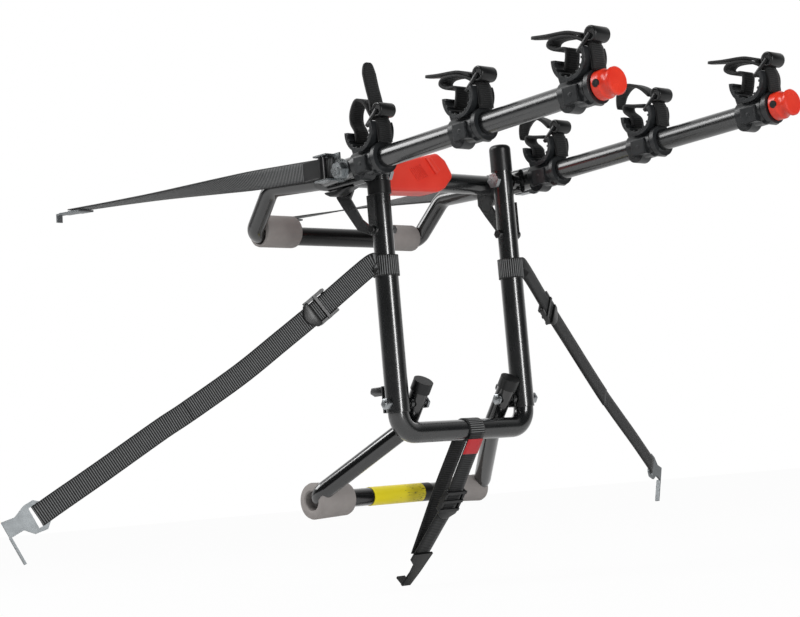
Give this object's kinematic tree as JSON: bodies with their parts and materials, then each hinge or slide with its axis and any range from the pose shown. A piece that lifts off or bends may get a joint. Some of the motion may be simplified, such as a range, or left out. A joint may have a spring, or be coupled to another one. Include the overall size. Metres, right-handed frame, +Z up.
{
  "type": "trunk mounted bike rack",
  "caption": "Folding bike rack strapped to a car trunk: steel U frame, two padded feet, two carry arms with strap cradles, a red release handle, and webbing straps with hooks",
  "frame": {"origin": "middle of the frame's bottom bar, on the bar's axis", "axes": "+Z up along the legs; +Y to the car; -Y along the carry arms to their tips; +X to the right as seen from the bikes' side"},
  "size_m": [1.1226, 0.9877, 0.622],
  "materials": {
    "frame_paint": "satin black powder coat",
    "zinc_steel": "zinc plated",
    "black_plastic": "fine grain",
    "dark_grey_plastic": "satin",
    "red_plastic": "satin",
    "strap_rubber": "matt",
    "foam": "closed cell foam",
    "webbing": "woven polyester",
    "yellow_sleeve": "satin film",
    "red_label": "woven"
  },
  "bodies": {
    "frame": {"main_frame": "frame_paint", "leg_sleeve_left": "frame_paint", "leg_sleeve_right": "frame_paint", "post_caps": "black_plastic", "post_collar": "black_plastic", "foot_bracket_left": "frame_paint", "foot_bracket_right": "frame_paint", "lower_pivot_bolts": "zinc_steel", "hub_bolts": "zinc_steel", "hub_spacers": "frame_paint", "yoke_bolts": "frame_paint", "side_strap_left": "webbing", "side_strap_right": "webbing", "side_strap_buckles": "black_plastic", "side_hooks": "zinc_steel", "bottom_strap": "webbing", "bottom_strap_buckle": "black_plastic", "bottom_hook": "black_plastic", "strap_tag": "red_label", "upper_strap_left": "webbing", "upper_strap_right": "webbing", "upper_buckle_frames": "zinc_steel", "upper_hooks": "zinc_steel"},
    "release_yoke": {"yoke_plates": "frame_paint", "yoke_crossbar": "frame_paint", "release_handle": "red_plastic", "yoke_end_blocks": "black_plastic", "yoke_rivets": "black_plastic"},
    "upper_foot": {"upper_foot_tube": "frame_paint", "upper_foam_left": "foam", "upper_foam_right": "foam", "upper_foot_sleeve": "black_plastic"},
    "lower_foot": {"lower_foot_tube": "frame_paint", "lower_foam_left": "foam", "lower_foam_right": "foam", "lower_foot_caps": "black_plastic", "lower_foot_band": "yellow_sleeve"},
    "carry_arm_left": {"arm_tube_left": "frame_paint", "arm_end_cap_left": "red_plastic", "arm_heel_left": "black_plastic", "cradle_left_1": "dark_grey_plastic", "cradle_left_2": "dark_grey_plastic", "cradle_left_3": "dark_grey_plastic", "cradle_strap_left_1": "strap_rubber", "cradle_strap_left_2": "strap_rubber", "cradle_strap_left_3": "strap_rubber"},
    "cam_lever_left": {"buckle_lever_left": "black_plastic"},
    "carry_arm_right": {"arm_tube_right": "frame_paint", "arm_end_cap_right": "red_plastic", "arm_heel_right": "black_plastic", "cradle_right_1": "dark_grey_plastic", "cradle_right_2": "dark_grey_plastic", "cradle_right_3": "dark_grey_plastic", "cradle_strap_right_1": "strap_rubber", "cradle_strap_right_2": "strap_rubber", "cradle_strap_right_3": "strap_rubber"},
    "cam_lever_right": {"buckle_lever_right": "black_plastic"}
  },
  "joints": [
    {"name": "carry_arm_left_fold", "type": "hinge", "parent": "frame", "child": "carry_arm_left", "pos_m": [-0.1526, 0, 0.314], "axis": [1, 0, 0], "range_deg": [0, 80]},
    {"name": "carry_arm_right_fold", "type": "hinge", "parent": "frame", "child": "carry_arm_right", "pos_m": [0.1526, 0, 0.314], "axis": [1, 0, 0], "range_deg": [0, 80]},
    {"name": "upper_foot_fold", "type": "hinge", "parent": "frame", "child": "upper_foot", "pos_m": [0, 0, 0.314], "axis": [1, 0, 0], "range_deg": [0, 60]},
    {"name": "lower_foot_fold", "type": "hinge", "parent": "frame", "child": "lower_foot", "pos_m": [0, 0, 0.0355], "axis": [1, 0, 0], "range_deg": [0, 40]},
    {"name": "release_yoke_tilt", "type": "hinge", "parent": "frame", "child": "release_yoke", "pos_m": [0, 0, 0.245], "axis": [-1, 0, 0], "range_deg": [0, 12]},
    {"name": "cam_lever_left_swing", "type": "hinge", "parent": "frame", "child": "cam_lever_left", "pos_m": [-0.1755, 0.023, 0.32], "axis": [0, 0, 1], "range_deg": [0, 60]},
    {"name": "cam_lever_right_swing", "type": "hinge", "parent": "frame", "child": "cam_lever_right", "pos_m": [0.1755, 0.023, 0.32], "axis": [0, 0, -1], "range_deg": [0, 60]}
  ]
}
